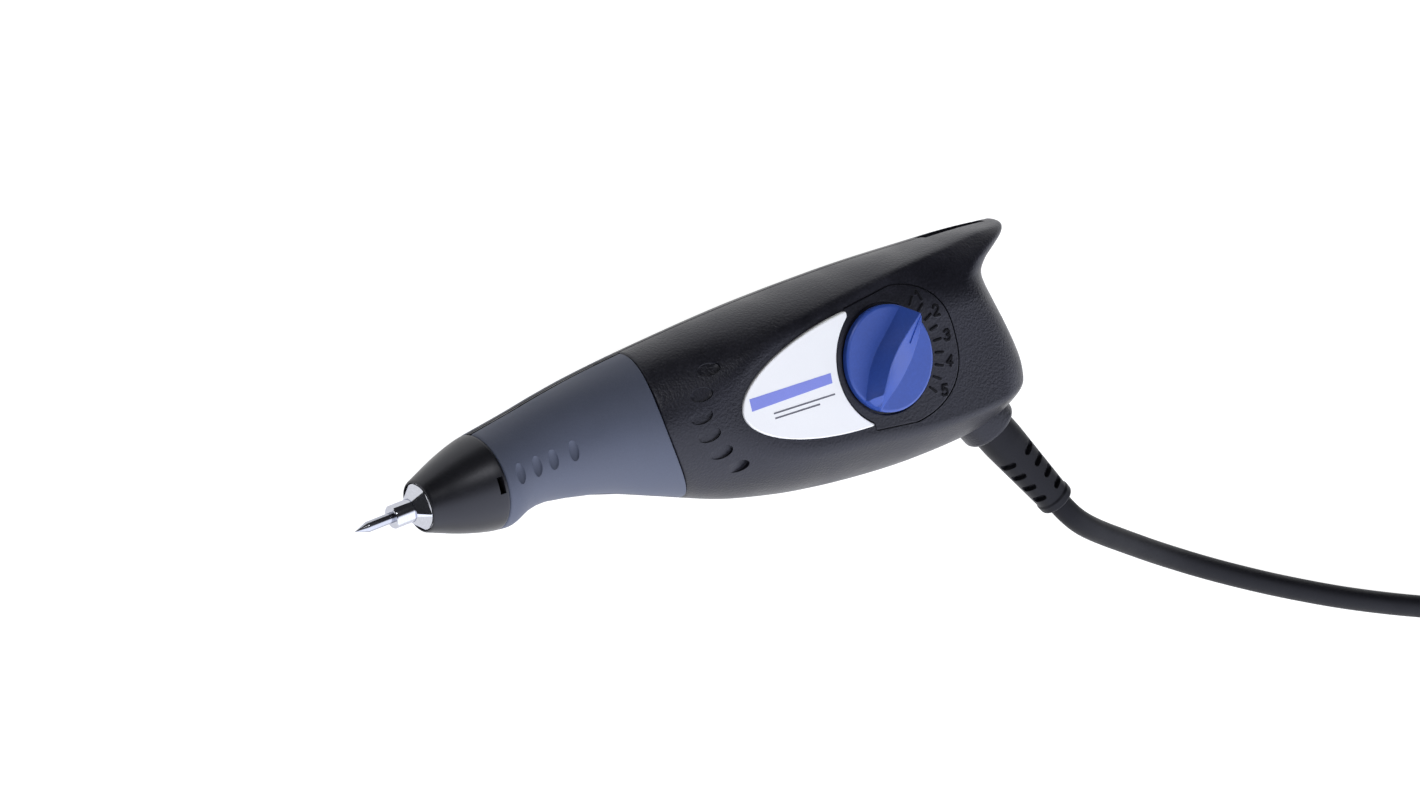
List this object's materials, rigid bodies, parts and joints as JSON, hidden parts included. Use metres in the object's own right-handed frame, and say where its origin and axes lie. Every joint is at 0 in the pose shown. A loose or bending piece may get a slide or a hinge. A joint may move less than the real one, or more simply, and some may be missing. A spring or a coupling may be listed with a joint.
{
  "type": "electric engraver",
  "caption": "Pen-style mains engraver: soft grip, nose cone with hex chuck nut and hard point, turning blue stroke dial, slide switch, tail hook, cord and two-pin plug.",
  "frame": {"origin": "bottom centre of the tool's bounding box without its free cord: the middle of the tool's length and height, on the plane that its flat right side rests on", "axes": "+X from the point to the tail, along the hammer; +Y to the tail hook's side (the tool's top edge); +Z out of the stroke dial's face, the tool lying on its right side"},
  "size_m": [0.455, 0.1759, 0.0402],
  "materials": {
    "housing_plastic": "finely textured, moulded",
    "grip_rubber": "soft, matt",
    "nose_plastic": "smooth, satin",
    "plate_white": "printed, smooth",
    "plate_silver": "matt foil, blank",
    "screw_zinc": "zinc plated",
    "point_carbide": "ground tungsten carbide",
    "chuck_chrome": "bright, slightly worn",
    "shaft_steel": "ground",
    "magnet_iron": "turned",
    "core_steel": "varnished stack",
    "bracket_steel": "pressed sheet, galvanised",
    "brass": "drawn",
    "bush_bronze": "sintered bronze, oiled",
    "buffer_rubber": "matt",
    "bobbin_nylon": "natural nylon",
    "winding_copper": "enamelled copper wire",
    "dial_blue": "moulded, satin",
    "cam_acetal": "natural acetal",
    "switch_black": "moulded",
    "wire_pvc": "insulated",
    "clamp_plastic": "moulded",
    "cord_rubber": "smooth sheath, satin",
    "relief_rubber": "moulded, matt",
    "plug_plastic": "moulded",
    "pin_nickel": "nickel plated"
  },
  "bodies": {
    "housing": {"housing_left": "housing_plastic", "housing_right": "housing_plastic", "grip_left": "grip_rubber", "grip_right": "grip_rubber", "nose_cone": "nose_plastic", "name_plate": "plate_white", "rating_plate": "plate_silver", "housing_screws": "screw_zinc", "front_bush": "bush_bronze", "front_buffer": "buffer_rubber", "core_laminations": "core_steel", "pole_piece": "magnet_iron", "coil_bobbin": "bobbin_nylon", "coil_winding": "winding_copper", "core_bracket": "bracket_steel", "core_screws": "screw_zinc", "friction_washer": "shaft_steel", "slider_guide": "bracket_steel", "switch_body": "switch_black", "switch_terminals": "brass", "lead_wires": "wire_pvc", "inner_lead": "cord_rubber", "cord_clamp": "clamp_plastic", "clamp_screws": "screw_zinc", "strain_relief": "relief_rubber", "power_cord": "cord_rubber", "cord_coil": "cord_rubber", "cord_tie": "relief_rubber", "plug_lead": "cord_rubber", "plug_body": "plug_plastic", "plug_pins": "pin_nickel"},
    "hammer": {"engraving_point": "point_carbide", "tool_holder": "chuck_chrome", "chuck_nut": "chuck_chrome", "hammer_shaft": "shaft_steel", "plunger": "magnet_iron", "push_rod": "brass", "spring_washer": "shaft_steel", "return_spring": "shaft_steel"},
    "dial": {"stroke_dial": "dial_blue", "dial_cam": "cam_acetal", "cam_screw": "screw_zinc"},
    "slider": {"stroke_slider": "bobbin_nylon"},
    "switch": {"switch_slider": "switch_black"}
  },
  "joints": [
    {"name": "dial_turn", "type": "hinge", "parent": "housing", "child": "dial", "pos_m": [0.04385, 0.00605, 0.0172], "axis": [0, 0, -1], "range_deg": [0, 90]},
    {"name": "stroke_slide", "type": "slide", "parent": "housing", "child": "slider", "axis": [1, 0, 0], "range_m": [0, 0.0016]},
    {"name": "hammer_slide", "type": "slide", "parent": "housing", "child": "hammer", "axis": [1, 0, 0], "range_m": [-0.0008, 0.0012], "stiffness_N_per_m": 3000, "deforming": ["return_spring"]},
    {"name": "switch_slide", "type": "slide", "parent": "housing", "child": "switch", "axis": [-1, 0, 0], "range_m": [0, 0.004]}
  ],
  "couplings": [
    {"joint": "stroke_slide", "follows": "dial_turn", "m_per_rad": 0.000955}
  ]
}
